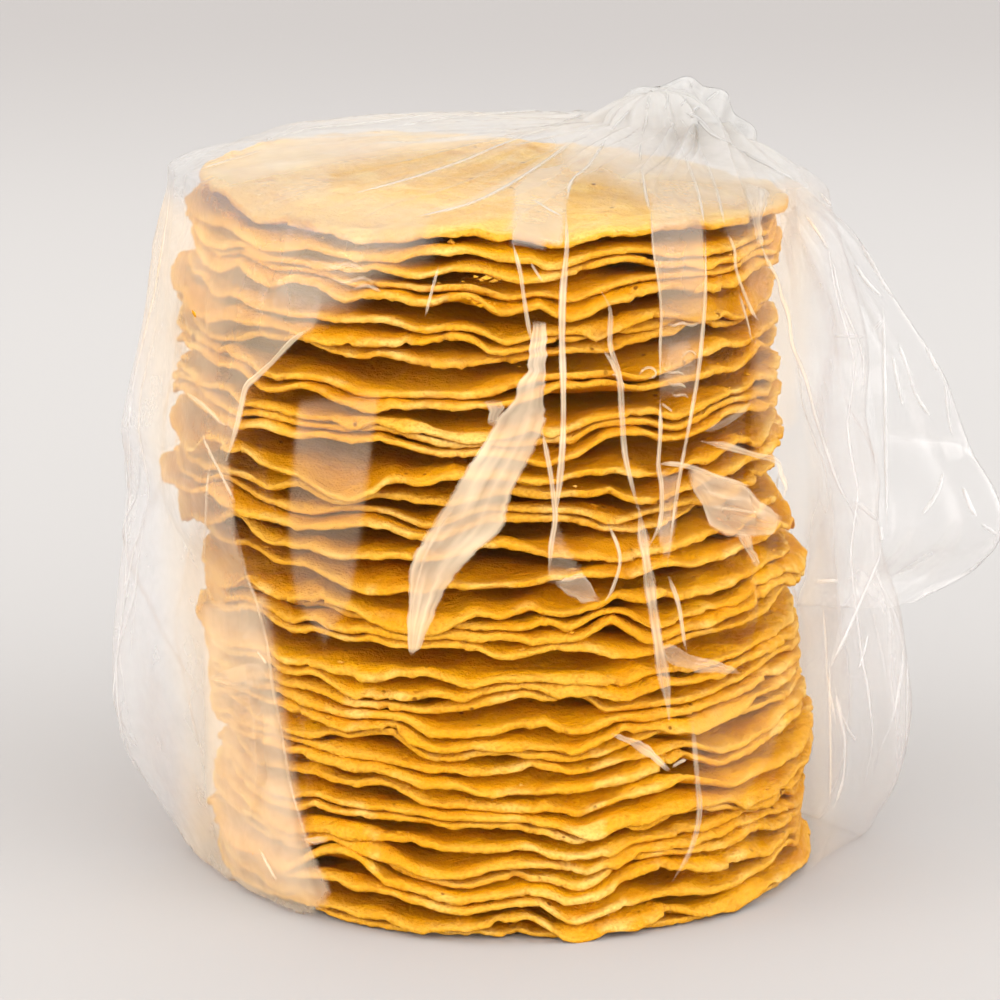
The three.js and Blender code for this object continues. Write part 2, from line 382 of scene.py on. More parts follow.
    def top_at(self, x, y):
        """The height of the top face under points, and far below past the rim."""
        dx, dy = x - self.middle[0], y - self.middle[1]
        turn = np.arctan2(dy, dx) % TURN / TURN * RIM_STEPS
        a = np.floor(turn).astype(int)
        f = turn - a
        a, b = a % RIM_STEPS, (a + 1) % RIM_STEPS
        rim = self.rim[a] * (1 - f) + self.rim[b] * f
        share = np.hypot(dx, dy) / rim
        row = np.interp(share, self.shares, np.arange(len(self.shares)))
        low = np.minimum(np.floor(row).astype(int), len(self.shares) - 2)
        g = row - low
        h = self.heights
        inner = h[low, a] * (1 - f) + h[low, b] * f
        outer = h[low + 1, a] * (1 - f) + h[low + 1, b] * f
        past = np.maximum(share - 1.01, 0.0) * 300
        return inner * (1 - g) + outer * g + self.thickness / 2 - past

    def heights_at(self, share):
        """The mid-surface's heights round another share of the radius."""
        row = np.interp(share, self.shares, np.arange(len(self.shares)))
        low = min(int(row), len(self.shares) - 2)
        return self.heights[low] * (1 - row + low) + self.heights[low + 1] * (row - low)

    def build(self, material):
        half = 0.37 * self.thickness * (1 + 0.3 * self.around(9, 8) + 0.22 * self.around(3.2, 9))
        chip = 0.34 * self.around(1.4, 5)
        frayed = 0.4 * self.around(1.25, 6)
        rings, rim = [], []

        def ring(share, height, skip, rim_value, inset=0.0):
            r = self.rim * share - inset
            x = self.middle[0] + r * np.cos(self.angles)
            y = self.middle[1] + r * np.sin(self.angles)
            rings.append(np.stack([x, y, height + 0 * x], axis=1)[::skip])
            rim.append(np.full(len(rings[-1]), rim_value))

        raised = self.blisters(*self.xy)
        last = self.heights[-1]
        for k, (share, skip) in enumerate(self.top_rings):
            edge = smooth((share - 0.955) / 0.045)
            lift = self.thickness / 2 * (1 - edge) + half * edge
            # Paler toward the rim: partly the rim's own colour, partly a painted highlight. The top one's
            # face is painted pale all over, as painted light on the stack's top.
            pale_and_lit = 0.85 * smooth((share - 0.97) / 0.025)
            pale_and_lit = TOP_LIT_PALENESS if self.is_top else pale_and_lit
            ring(share, self.heights[k] + raised[k] + lift, skip, pale_and_lit)
        # The rim band: its own paler colour, with a painted highlight brightest along its top and fading to
        # its foot.
        ring(0.9985, last + 0.95 * half + 0.45 * chip, 1, 1.0, 0.1 + 0.4 * np.abs(chip))
        ring(1.0, last + 0.6 * half + 0.3 * chip, 1, 1.0, 0.3 * chip)
        ring(1.0, last - 0.6 * half, 1, 0.6, -0.3 * frayed)
        ring(0.9985, last - half + 0.7 * frayed, 1, 0.2, 0.12 + 0.5 * np.abs(frayed))
        for share, skip in UNDER_RINGS:
            ring(share, self.heights_at(share) - self.thickness / 2, skip, 0.0)

        vertices, faces = loft(rings)
        faces = [face[::-1] for face in faces]
        name = f"tostada_{self.index + 1:02d}"
        # Painted shade with some toasting: faces darker by height in the stack, and a little by chance.
        toast = np.full(len(vertices), np.interp(self.index, SHADE_AND_TOAST_COUNTS, SHADES_AND_TOASTS))
        toast = toast + 0.12 * noise(self.index, 0, 0, 18)
        rim = np.concatenate([*rim, [0, 0]])
        piece = add_mesh(name, vertices, faces, material, rim=rim, toast=toast)
        return piece


def make_stack():
    below = None
    stack = []
    for index in range(TOSTADA_COUNT):
        tostada = Tostada(index)
        tostada.settle(below)
        stack.append(tostada)
        below = tostada
    return stack


# ---- Lines of sight: the film's folds are laid out as the camera sees them ----

def pixels(text):
    """Points of the picture, written as pairs of pixels."""
    return np.array([pair.split(",") for pair in text.split()], float)


def to_picture(points):
    """Where points in millimetres fall in the picture, in pixels."""
    away = points - CAMERA_PLACE
    ahead = away @ SIGHT_AHEAD
    x = PICTURE_PIXELS / 2 + FOCAL_PIXELS * (away @ SIGHT_RIGHT) / ahead
    y = PICTURE_PIXELS / 2 + FOCAL_PIXELS * (away @ SIGHT_DOWN) / ahead
    return x, y


def sight(x, y):
    """The line of sight through a pixel."""
    u = (x - PICTURE_PIXELS / 2) / FOCAL_PIXELS
    v = (y - PICTURE_PIXELS / 2) / FOCAL_PIXELS
    way = SIGHT_AHEAD + u * SIGHT_RIGHT + v * SIGHT_DOWN
    return way / np.linalg.norm(way)


def outlined(x, y, outline, edge):
    """1 inside an outline and 0 outside, over an edge so many pixels wide."""
    away = np.full(x.shape, np.inf)
    inside = np.zeros(x.shape, bool)
    for a, b in zip(outline, np.roll(outline, -1, axis=0)):
        leg = b - a
        t = np.clip(((x - a[0]) * leg[0] + (y - a[1]) * leg[1]) / (leg @ leg), 0, 1)
        away = np.minimum(away, np.hypot(x - a[0] - t * leg[0], y - a[1] - t * leg[1]))
        if a[1] != b[1]:
            crosses = (a[1] > y) != (b[1] > y)
            inside ^= crosses & (x < a[0] + (y - a[1]) * leg[0] / leg[1])
    return smooth(0.5 + np.where(inside, away, -away) / edge)


# ---- The film: how milky it looks, with painted reflections and glare ----

# Milky patches as the camera sees them, much of them painted reflections of the lights: an outline in
# pixels, how milky, and how wide the patch's edge is.
GLARE_VEILS = [
    # the flap's reach over the left of the stack
    ("90,150 330,150 332,235 325,290 316,325 296,338 283,351 257,377 247,386 243,402 238,424 "
     "228,460 233,506 236,540 247,574 257,600 268,645 274,690 283,736 291,783 302,822 312,854 "
     "330,890 300,930 90,930", 0.30, 5),
    ("300,180 440,200 420,250 380,268 340,300 300,320", 0.30, 50),
    ("150,150 300,150 250,330 215,440 200,560 215,800 240,900 90,900", 0.34, 60),
    ("200,600 262,600 300,830 322,900 230,900 205,800", 0.48, 20),
    ("300,402 378,396 372,440 362,520 350,600 325,640 296,600 288,520", 0.14, 8),
    ("556,517 564,543 582,573 554,582 549,576 550,543", 0.13, 3),
    # the band right of the middle
    ("651,190 653,250 658,280 661,313 664,318 704,316 706,289 704,258 701,190", 0.32, 2.5),
    ("661,313 660,345 660,395 697,392 699,350 705,316", 0.12, 5),
    ("668,345 690,342 697,372 680,392 662,380", 0.22, 6),
    ("662,474 680,474 676,520 670,553 664,553 658,535", 0.22, 3),
    ("688,713 700,716 730,700 764,690 790,700 770,760 740,800 705,812 697,790 692,750", 0.07, 7),
    ("697,718 760,668 800,660 800,690 760,740 697,800", 0.06, 14),
    # over the top
    ("190,172 240,151 303,120 397,98 479,92 580,90 570,135 450,150 380,160 300,174 230,188", 0.52, 30),
    ("199,165 240,151 303,124 397,102 479,96 580,94 594,98 642,85 700,77 751,131 801,184 "
     "790,215 745,230 702,222 651,226 650,213 642,188 623,182 606,169 589,171 571,182 566,213 "
     "562,240 540,245 512,241 509,215 470,225 400,235 330,228 270,215 200,200", 0.13, 8),
    ("514,189 512,241 540,246 562,242 566,205 571,180 560,165 530,170", 0.36, 3),
    ("281,206 342,190 397,176 452,159 493,140 548,121 580,107 590,118 548,134 500,152 455,169 "
     "400,187 345,200 290,213", 0.26, 5),
    ("408,221 465,209 506,191 548,164 580,135 566,135 540,158 500,182 460,201 405,213", 0.26, 5),
    ("600,90 700,70 760,131 800,184 780,214 700,212 650,200 600,168 560,165 540,140", 0.40, 40),
    ("530,100 600,84 700,60 770,125 808,186 765,190 700,186 640,182 604,168 572,172 550,140", 0.70, 50),
    # the right of the stack
    ("800,200 880,300 885,540 860,640 840,850 815,850 812,720 800,600 825,520 805,440 796,360 "
     "796,280", 0.13, 12),
    ("720,215 790,215 796,300 800,420 770,440 752,400 756,320 742,260", 0.15, 16),
    ("786,283 801,377 822,446 852,510 885,540 885,320 868,300 840,240 800,200", 0.18, 10),
    ("820,560 915,560 915,800 880,850 815,860", 0.14, 40),
    ("864,626 885,622 893,660 885,694 866,690", 0.2, 10),
]

# Small folded-over patches as the camera sees them, painted milky white as glare, a painted reflection: an
# outline in pixels, how milky, and whether it is taken in slices from left to right.
GLARE_PATCHES = [
    # the jagged one in the middle
    ("534,320 545,322 546,345 545,372 543,395 545,420 541,433 532,455 518,479 511,492 505,520 "
     "500,532 480,548 455,575 443,593 428,630 420,648 411,655 408,622 410,564 426,535 449,499 "
     "466,471 483,444 500,415 516,400 517,385 528,372 531,345", 0.55, False),
    ("554,582 582,573 590,584 600,601 582,603 566,592", 0.3, True),
    ("686,469 709,473 745,484 760,502 781,517 773,533 745,538 725,535 709,525 702,505 692,490", 0.38, True),
    ("735,530 748,534 752,548 760,563 755,568 745,548", 0.26, False),
    ("658,647 674,645 689,655 735,668 738,673 699,672 669,663", 0.26, True),
    ("610,734 625,737 646,744 658,757 669,770 662,767 646,755 628,743", 0.4, True),
    ("210,678 247,663 260,663 270,681 257,686 242,692 226,684", 0.26, True),
    ("484,400 500,399 505,408 498,416 494,427 488,424 490,412", 0.33, False),
    ("303,840 318,836 331,838 318,844", 0.26, True),
    ("743,184 769,191 760,222 762,241 759,248 755,232 749,206", 0.41, False),
    ("852,500 866,505 879,524 881,553 866,592 845,636 830,667 838,630 856,590 866,560 864,530", 0.2, False),
    ("721,112 736,104 748,130 738,136", 0.33, False),
    ("944,433 960,436 962,459 950,464 942,450", 0.2, False),
]


def veil_glare(vertices, normals):
    """How milky each point of the film's near side is, with painted reflections of the lights."""
    x, y = to_picture(vertices)
    near = ((CAMERA_PLACE - vertices) * normals).sum(axis=1) > 0
    milk = np.zeros(len(vertices))
    for outline, depth, edge in GLARE_VEILS:
        milk = np.maximum(milk, depth * outlined(x, y, pixels(outline), edge))
    return np.where(near, milk, 0)


# ---- The film: the bag ----

NECK = {"x": 34, "y": 18, "z": 165.5, "radius_x": 15, "radius_y": 7}
NECK_PLEATS = 17
NECK_ROWS = [(0.3, 0.93), (0.62, 0.8), (0.86, 0.6), (1.0, 0.3)]
CREST_PLACES = [18, 24, 33, 41, 47]
CREST_HEIGHTS = [168, 170, 171.6, 173, 171]
FLAP_TURN_LEFT = math.pi
FLAP_TURN_RIGHT = 0.1
FLAP_HEIGHTS_LEFT = [0, 8, 24, 44, 80, 108, 130, 154]
FLAP_REACH_LEFT = [4, 10, 19, 19, 14.5, 9.5, 3.5, 0.3]
FLAP_HEIGHTS_RIGHT = [0, 5, 14, 30, 56, 70, 116, 138, 154]
FLAP_REACH_RIGHT = [12, 17, 22, 25, 24, 19, 21, 14, 5]

SHOULDER_OVER_RIM = 1.1
BASE_LIFT = 0.15                 # keeps the bag's bottom off the floor's plane
BASE_EDGE_HEIGHT = 1.5
BASE_EDGE_INSET = 1.2
PUFF_LEAST = 0.12
PUFF_MOST = 0.62
PUFF_TURN = 2.75
PUFF_SPREAD = 1.5
PUFF_OVER = 0.07

FILM_AROUND = 480
WALL_ROWS = 112
CONE_ROWS = 44
FRONT = -math.pi / 2
FRONT_CROWDING = 1.6             # how much closer the film's columns stand in front


def turn_between(a, b):
    return (a - b + math.pi) % TURN - math.pi


def film_columns():
    """Turns of the film's columns, closest together at the front."""
    turns = np.linspace(0, TURN, 4001)
    crowd = 1 + FRONT_CROWDING * smooth(1.25 - np.abs(turn_between(turns, FRONT)) / 1.25)
    total = np.concatenate([[0], np.cumsum((crowd[1:] + crowd[:-1]) / 2)])
    return np.interp(np.arange(FILM_AROUND) / FILM_AROUND * total[-1], total, turns)


def flap_radius(angle, reach, flap_turn):
    """The wall where it leaves the stack in two straight runs to a fold."""
    touch = np.arccos(WALL_RADIUS / (WALL_RADIUS + reach))
    away = np.abs(turn_between(angle, flap_turn))
    inside = away < touch
    return np.where(inside, WALL_RADIUS / np.cos(np.where(inside, touch - away, 0)), 0)


def rim_at(tostada, angles):
    """A tostada's reach from the axis and its rim's height at turns round the axis."""
    x, y = tostada.points(np.array([1.0]))
    turn = np.arctan2(y[0], x[0]) % TURN
    order = np.argsort(turn)
    out = np.interp(angles, turn[order], np.hypot(x[0], y[0])[order], period=TURN)
    level = np.interp(angles, turn[order], tostada.heights[-1][order], period=TURN)
    return out, level


def stack_radius(stack, angles, z):
    """How far out the tostadas' rims reach, with the film slack between them."""
    reach = np.zeros(z.shape)
    for tostada in stack:
        out, level = rim_at(tostada, angles)
        rise = z - level
        reach = np.maximum(reach, out + 0.55 - 0.02 * rise ** 2)
    return reach


def wall_surface(stack, angles):
    """Points of the upright film over rows of points, and how milky each is, with painted glare along the
    folds round the sides and back.
    """
    top = blur(rim_at(stack[-1], angles)[1] + SHOULDER_OVER_RIM, 4, 0, True)
    angle, share = np.meshgrid(angles, np.linspace(0, 1, WALL_ROWS))
    z = BASE_LIFT + share * (top - BASE_LIFT)
    left = blur(np.interp(z, FLAP_HEIGHTS_LEFT, FLAP_REACH_LEFT), 5, 0, False)
    right = blur(np.interp(z, FLAP_HEIGHTS_RIGHT, FLAP_REACH_RIGHT), 5, 0, False)
    hug = blur(stack_radius(stack, angles, z), 3, 1, True)
    hug = blur(hug, 1, 0, False)
    flaps = flap_radius(angle, left, FLAP_TURN_LEFT)
    flaps = np.maximum(flaps, flap_radius(angle, right, FLAP_TURN_RIGHT))
    flaps = np.where(flaps > 0, flaps + lean(z) * np.cos(angle), 0)
    off_stack = smooth((flaps - hug) / 4)
    radius = np.maximum(hug, flaps)

    u = turn_between(angle, FRONT) * WALL_RADIUS
    radius = radius + off_stack * 1.3 * noise(u / 14, z / 40, 3, 21)
    radius = radius + off_stack * 1.1 * ridged(u / 17, z / 90, 9, 24)
    radius = radius + 0.22 * noise(u / 5, z / 16, 5, 22)
    fold = ridged(u / 19 + 0.5 * noise(u / 40, z / 30, 2, 26), z / 120, 7, 23, 16)
    radius = radius + 0.45 * fold
    radius = radius - BASE_EDGE_INSET * (1 - smooth(z / BASE_EDGE_HEIGHT))

    behind = smooth((np.abs(turn_between(angle, FRONT)) - 1.3) / 0.25)
    bands = smooth((noise(u / 13, z / 110, 1, 27) - 0.25) / 0.1)
    milk = 0.004 + 0.05 * off_stack * smooth(z / 25) + behind * (0.02 + 0.3 * fold + 0.26 * bands)
    points = np.stack([radius * np.cos(angle), radius * np.sin(angle), z], axis=-1)
    return points, milk


def neck_ring(angles, up, share):
    """A round of bunched pleats, part of the way up to the crest."""
    pleat = 0.09 * np.sin(NECK_PLEATS * angles + 2 * noise(angles * 2, 0, 0, 35))
    pleat = pleat + 0.16 * noise(angles * 7, 0, 4, 36)
    x = NECK["x"] + share * NECK["radius_x"] * (1 + pleat) * np.cos(angles)
    y = NECK["y"] + share * NECK["radius_y"] * (1 + pleat) * np.sin(angles)
    crest = np.interp(x, CREST_PLACES, CREST_HEIGHTS) + 0.8 * noise(angles * 5, up, 2, 38)
    return np.stack([x, y, NECK["z"] + up * (crest - NECK["z"])], axis=-1)


def cone_surface(angles, shoulder, top):
    """The pleated film from the shoulder in to the neck."""
    shares = (np.arange(1, CONE_ROWS + 1) / CONE_ROWS) ** 1.15
    t = shares[:, None]
    angle = angles[None, :] + 0 * t
    neck = neck_ring(angles, 0, 1)
    flat = shoulder[None] * (1 - t[..., None]) + neck[None] * t[..., None]
    away = turn_between(angle, PUFF_TURN) / PUFF_SPREAD
    puff = PUFF_LEAST + (PUFF_MOST - PUFF_LEAST) * np.exp(-away * away)
    rise = puff * (1 - np.exp(-t / PUFF_OVER)) + (1 - puff) * t
    z = shoulder[None, :, 2] + (neck[None, :, 2] - shoulder[None, :, 2]) * rise
    bunch = angle * 4.1 + 0.5 * noise(t * 2.5, angle * 3, 1, 32)
    fold = ridged(bunch, t * 1.1, 2, 33, 3)
    fine = ridged(bunch * 2.3, t * 1.6, 2, 37, 4)
    depth = (0.5 + 1.9 * t) * smooth((1 - t) * 6 + 0.3)
    z = z + depth * (fold - 0.4) + 0.4 * depth * (fine - 0.4)
    x, y = flat[..., 0], flat[..., 1]
    z = np.maximum(z, top.top_at(x, y) + 0.8)
    # Milky haze, thickest at the neck, with painted highlights along the pleats' ridges.
    milk = 0.03 + 0.22 * fold ** 4 + 0.12 * fine ** 4 + 0.25 * smooth((t - 0.7) / 0.3)
    return np.stack([x, y, z], axis=-1), milk


def bag_rings(stack):
    angles = film_columns()
    wall, wall_milk = wall_surface(stack, angles)
    cone, cone_milk = cone_surface(angles, wall[-1], stack[-1])
    base = [wall[0] * np.array([share, share, 1]) for share in (0.35, 0.8, 0.97)]
    neck = [neck_ring(angles, up, share) for up, share in NECK_ROWS]
    milk = [*np.zeros((3, FILM_AROUND)), *wall_milk, *cone_milk, *np.full((4, FILM_AROUND), 0.55)]
    return [*base, *wall, *cone, *neck], milk


# ---- The film: the loose wing and the fan above the neck ----

WING_ROOT = [(58, 14, 151), (62, 16, 120), (64, 16, 88), (66, 16, 64), (68, 16, 53)]
WING_EDGE = [(66, 14, 153), (80, 20, 140), (93, 25, 120), (103, 28, 103), (110, 27, 87),
             (116.5, 24, 71), (111, 25, 59), (99, 24, 53), (90, 21, 51)]
FAN_ROOT = [(29, 19, 165), (38, 20, 161), (47, 20, 156), (55, 18, 152)]
FAN_EDGE = [(27, 27, 169), (36, 31, 172.5), (46, 33, 172.5), (53, 34, 167.5), (58, 33, 160),
            (61, 28, 153)]


def curve_through(points, count):
    """A smooth curve through points, as so many points evenly along it."""
    points = np.asarray(points, float)
    if len(points) == 2:
        return points[0] + np.linspace(0, 1, count)[:, None] * (points[1] - points[0])
    padded = np.vstack([2 * points[0] - points[1], points, 2 * points[-1] - points[-2]])
    t = np.linspace(0, 1, 17)[:, None]
    runs = []
    for a, b, c, d in zip(padded, padded[1:], padded[2:], padded[3:]):
        runs.append(b + 0.5 * t * (c - a + t * (2 * a - 5 * b + 4 * c - d + t * (3 * (b - c) + d - a))))
    fine = np.vstack(runs)
    gone = np.concatenate([[0], np.cumsum(np.linalg.norm(np.diff(fine, axis=0), axis=1))])
    even = np.linspace(0, gone[-1], count)
    return np.stack([np.interp(even, gone, fine[:, k]) for k in range(fine.shape[1])], axis=1)


def sheet(root, edge, rows, columns, seed, wave, crumple):
    """Two layers of film between a root and a folded edge: points, faces and milky haze, with painted glare
    along its creases and folded edge.
    """
    along_root = curve_through(root, rows)
    along_edge = curve_through(edge, rows)
    across = np.linspace(0, 1, columns)
    grid = along_root[:, None] * (1 - across)[:, None] + along_edge[:, None] * across[:, None]
    s = np.linspace(0, 1, rows)[:, None] + 0 * across
    t = across[None, :] + 0 * s
    normal = np.cross(np.gradient(grid, axis=1), np.gradient(grid, axis=0))
    normal /= np.linalg.norm(normal, axis=2, keepdims=True) + 1e-9
    count, height, slant = wave
    phase = count * s + slant * t + 0.2 * noise(s * 3, t * 2, 0, seed)
    swell = height * smooth(2.5 * t) * np.sin(TURN * phase)
    creased = crumple * smooth(1.6 * t) * (ridged(s * 6, t * 3.5, 1, seed + 1, 3) - 0.4)
    creased += 0.6 * crumple * (ridged(s * 3 + t * 4, t * 9, 2, seed + 2, 4) - 0.3)
    edge_in = smooth(np.minimum(np.minimum(s, 1 - s) * 9, (1 - t) * 7))
    middle = grid + normal * (swell + creased)[..., None]
    half = edge_in * (0.35 + 0.5 * smooth(noise(s * 5, t * 3, 5, seed + 3) + 0.5))
    loose = edge_in * 0.5 * noise(s * 12, t * 7, 3, seed + 4)
    front = middle + normal * (half + np.maximum(loose, -0.3))[..., None]
    back = middle - normal * (half + np.maximum(-loose, -0.3))[..., None]
    index = np.arange(rows * columns).reshape(rows, columns)
    shut = np.zeros((rows, columns), bool)
    shut[0, :] = shut[-1, :] = shut[:, -1] = True
    other = np.where(shut, index, index + rows * columns)
    vertices = np.vstack([front.reshape(-1, 3), back.reshape(-1, 3)])
    quads = np.concatenate([grid_faces(index), grid_faces(other)[:, ::-1]])
    # Painted glare along the creases and the folded edge.
    fold = ridged(s * 6, t * 3.5, 1, seed + 1, 8) + ridged(s * 3 + t * 4, t * 9, 2, seed + 2, 10)
    milk = 0.03 + 0.16 * fold * smooth(t * 2) + 0.22 * smooth((t - 0.965) / 0.02)
    used, quads = np.unique(quads, return_inverse=True)
    return vertices[used], quads.reshape(-1, 4).tolist(), np.tile(milk.ravel(), 2)[used]


# ---- The film: narrow folds ----

# Narrow folds as the camera sees them: points in pixels, width in pixels, and how milky, their white being
# painted highlights along the creases.
SEEN_FOLDS = [
    ("565,205 567,241 565,267 563,289 562,315 562,345 563,380 563,433 560,476 556,512 554,543", 4.6, 0.75),
    ("532,199 545,208 562,217", 2.4, 0.6),
    ("512,241 520,271 524,297 529,328 532,345", 2.8, 0.6),
    ("541,425 550,471 554,502 555,520 551,545 549,576", 3.4, 0.6),
    ("530,262 538,275 543,282", 2, 0.5),
    ("607,522 618,548 619,568 610,594 604,602", 2.8, 0.6),
    ("601,291 610,310 610,345 619,378 622,419 625,456 634,494 641,520", 4.5, 0.5),
    ("638,505 644,545 649,580 652,604 656,630 662,668 667,696 669,721", 8.5, 0.55),
    ("660,395 660,431 658,466 661,484 660,522 648,548", 3.6, 0.6),
    ("705,228 705,289 701,345 697,378 690,419 681,466 675,502 670,543 667,568", 3.6, 0.6),
    ("667,573 678,604 684,642 687,651", 3.6, 0.6),
    ("651,205 653,250 658,280 661,313 660,345 660,388", 2.2, 0.55),
    ("699,441 725,446 755,455 776,461 781,476 786,487 781,502", 5, 0.5),
    ("653,464 676,464 697,469 720,478 750,486", 3.4, 0.55),
    ("700,490 725,497 752,500", 2.4, 0.6),
    ("704,506 730,509 768,514", 2.4, 0.6),
    ("671,768 679,762 687,759", 2.6, 0.6),
    ("692,720 697,780 699,815 690,850 672,882", 4.5, 0.35),
    ("425,318 432,290 439,265", 2, 0.5),
    ("415,655 412,610 430,545 470,480", 1.8, 0.7),
    ("316,325 296,338 283,351 273,362 257,377 247,386 243,402 238,424 232,445 226,462", 4.2, 0.7),
    ("187,393 205,406 221,422 229,427", 3, 0.55),
    ("202,432 210,451 221,472 236,503", 2.8, 0.5),
    ("211,461 208,490 205,560", 2.6, 0.4),
    ("236,520 247,574 257,600 268,645 274,690 283,736 291,783 302,822 312,854 325,884", 2.6, 0.3),
    ("257,650 268,665", 2.6, 0.6),
    ("260,848 268,864 278,882", 2.8, 0.55),
    ("725,228 734,250 736,271 749,306 760,323", 3.4, 0.5),
    ("738,291 747,323 751,341", 2.8, 0.5),
    ("757,225 760,243 766,258 777,280 781,297 788,315 792,345 805,378 816,419 837,482 852,510 "
     "860,530", 4.4, 0.6),
    # small crumples right of the middle
    ("638,376 643,369 650,367 656,371 655,377 647,379", 2, 0.45),
    ("664,368 670,374 677,371 685,376", 2, 0.45),
    ("666,380 672,386 680,383 687,389", 2.2, 0.45),
    ("670,392 676,397 683,393 689,399", 2, 0.4),
    ("681,359 685,352 692,350 697,357", 2, 0.4),
    ("665,322 673,326 682,322 690,326 701,321", 2.2, 0.45),
    ("603,350 608,357 613,366 616,375", 2.6, 0.5),
    ("610,375 616,374 621,380 624,391", 2.4, 0.5),
    ("660,403 666,407 673,412", 2, 0.5),
    ("703,432 725,422 744,409 752,398", 5, 0.22),
    # and where the flap's reach over the left is rumpled
    ("320,262 335,268 350,264 367,272", 3.4, 0.35),
    ("330,277 345,283 362,278 376,283", 3, 0.3),
    ("352,291 366,285 382,292", 2.6, 0.35),
    # over the top
    ("684,112 698,119 711,133 726,142 747,154 770,167 784,175 801,184", 4.2, 0.95),
    ("265,142 303,131 364,124 424,116 452,109 495,103 534,98 580,97", 3.2, 0.6),
    ("397,127 452,118 506,113 548,110 600,104", 3, 0.45),
    ("199,170 240,158 265,150", 2.4, 0.4),
    ("410,219 465,206 506,187 548,160 590,128", 3, 0.55),
    ("345,196 400,182 455,164 500,146 550,127 600,108", 2.6, 0.55),
    ("566,205 571,182 589,165 612,130 632,108", 2.4, 0.6),
    ("650,213 645,190 640,150 648,112", 2.2, 0.5),
    ("704,228 697,190 682,150 668,115", 2.2, 0.5),
    ("725,228 716,190 700,150 680,118", 2.2, 0.45),
    ("646,84 650,96 646,112", 2.2, 0.5),
    ("663,83 668,98 664,112", 2.2, 0.5),
    ("692,76 690,92 680,108", 2.6, 0.6),
    ("723,88 708,100 692,112", 2.6, 0.6),
    # the wing
    ("817,191 834,209 852,229 868,255 883,283 893,296 906,311 919,329 929,352 938,372", 3.2, 0.6),
    ("804,214 817,232 829,252", 3.2, 0.85),
    ("852,260 868,283 883,298", 3, 0.7),
    ("883,298 884,340 885,400 886,470 887,540", 2.8, 0.6),
    ("896,336 908,370 916,395 934,421", 2.8, 0.5),
    ("892,350 897,380 904,410", 3, 0.5),
    ("919,518 936,495 944,470", 3, 0.55),
    ("962,484 970,505 977,518", 3.4, 0.8),
    ("980,523 998,535", 3, 0.6),
    ("944,377 949,421 955,440", 2.6, 0.45),
    ("827,334 850,336 868,334 883,319", 2.4, 0.35),
    # the right flap, lower down
    ("852,500 866,510 879,524 881,545 876,566 864,592 845,636 830,667", 4, 0.75),
    ("829,660 829,700 830,742 830,776 829,810", 2.6, 0.5),
    ("841,713 848,730 857,742", 3, 0.45),
    ("812,582 825,581 840,581", 3, 0.5),
    ("890,600 903,607 912,615", 2.6, 0.4),
    ("905,607 907,660 906,720 905,760", 2.6, 0.4),
    ("868,630 864,650 857,672", 2.6, 0.5),
    ("911,812 916,818 913,824", 4, 0.8),
    # the left flap's outer fold
    ("171,184 168,215 161,262 155,296 146,333 135,380 131,406 130,437 131,490 130,560", 2.4, 0.45),
]

FOLD_STEP = 3.0                  # pixels between stations along a fold
PATCH_STEP = 2.2                 # pixels between the slices of a patch
PATCH_COLUMNS = 15
PATCH_FRAY = 1.2                 # pixels by which a patch's sides stray from its outline
CHANCE_FOLDS = 46
CHANCE_FOLD_STEP = 0.9           # millimetres between stations along a chance fold
PIXEL_SIZE = 0.225               # millimetres at the stack
FOLD_WIDENING = 1.45
FOLD_GLARE = 1.1
FOLD_LIFT = 0.08                 # millimetres off the film
FOLD_PROFILE = [(-0.5, 0.0, 0.15), (-0.34, 0.75, 1.0), (-0.1, 1.0, 0.6), (0.22, 0.6, 0.85), (0.5, 0.0, 0.15)]


class FilmShape:
    """All the film's faces, for laying folds on them."""

    def __init__(self, shells):
        vertices, faces, start = [], [], 0
        for shell_vertices, shell_faces in shells:
            vertices.append(shell_vertices)
            faces += [[i + start for i in face] for face in shell_faces]
            start += len(shell_vertices)
        self.tree = BVHTree.FromPolygons(np.vstack(vertices).tolist(), faces)

    def hit(self, start, way):
        place, normal, _, _ = self.tree.ray_cast(Vector(start), Vector(way))
        if place is None:
            return None
        if normal.dot(Vector(way)) > 0:
            normal = -normal
        return np.array(place), np.array(normal)


def ribbons(hits, width, milk):
    """Cross-sections of a raised fold along places on the film, one run at a time."""
    runs, run = [], []
    for hit in hits:
        if hit is None or (run and np.linalg.norm(hit[0] - run[-1][0]) > 4):
            runs.append(run)
            run = []
        if hit is not None:
            run.append(hit)
    runs.append(run)
    made = []
    for run in runs:
        if len(run) < 4:
            continue
        places = blur(np.array([h[0] for h in run]), 1, 0, False)
        normals = blur(np.array([h[1] for h in run]), 2, 0, False)
        normals /= np.linalg.norm(normals, axis=1, keepdims=True)
        ahead = np.gradient(places, axis=0)
        side = np.cross(normals, ahead)
        side /= np.linalg.norm(side, axis=1, keepdims=True) + 1e-9
        along = np.linspace(0, 1, len(run))
        taper = smooth(along * 5) * smooth((1 - along) * 5)
        wide = width * (0.2 + 0.8 * taper) * (1 + 0.25 * noise(along * len(run) / 9, width, 0, 51))
        high = 0.12 + 0.35 * np.minimum(width, 1.0) * taper
        rows = []
        for share, lift, _ in FOLD_PROFILE:
            out = FOLD_LIFT + high * lift
            rows.append(places + side * (share * wide)[:, None] + normals * out[:, None])
        points = np.stack(rows, axis=1)
        # The fold's painted highlight, whitest near its middle.
        glare_cloud = milk * np.outer(0.35 + 0.65 * taper, [part[2] for part in FOLD_PROFILE])
        glare_cloud *= 0.85 + 0.35 * noise(along * len(run) / 6, width, 3, 52)[:, None]
        made.append((points, glare_cloud))
    return made


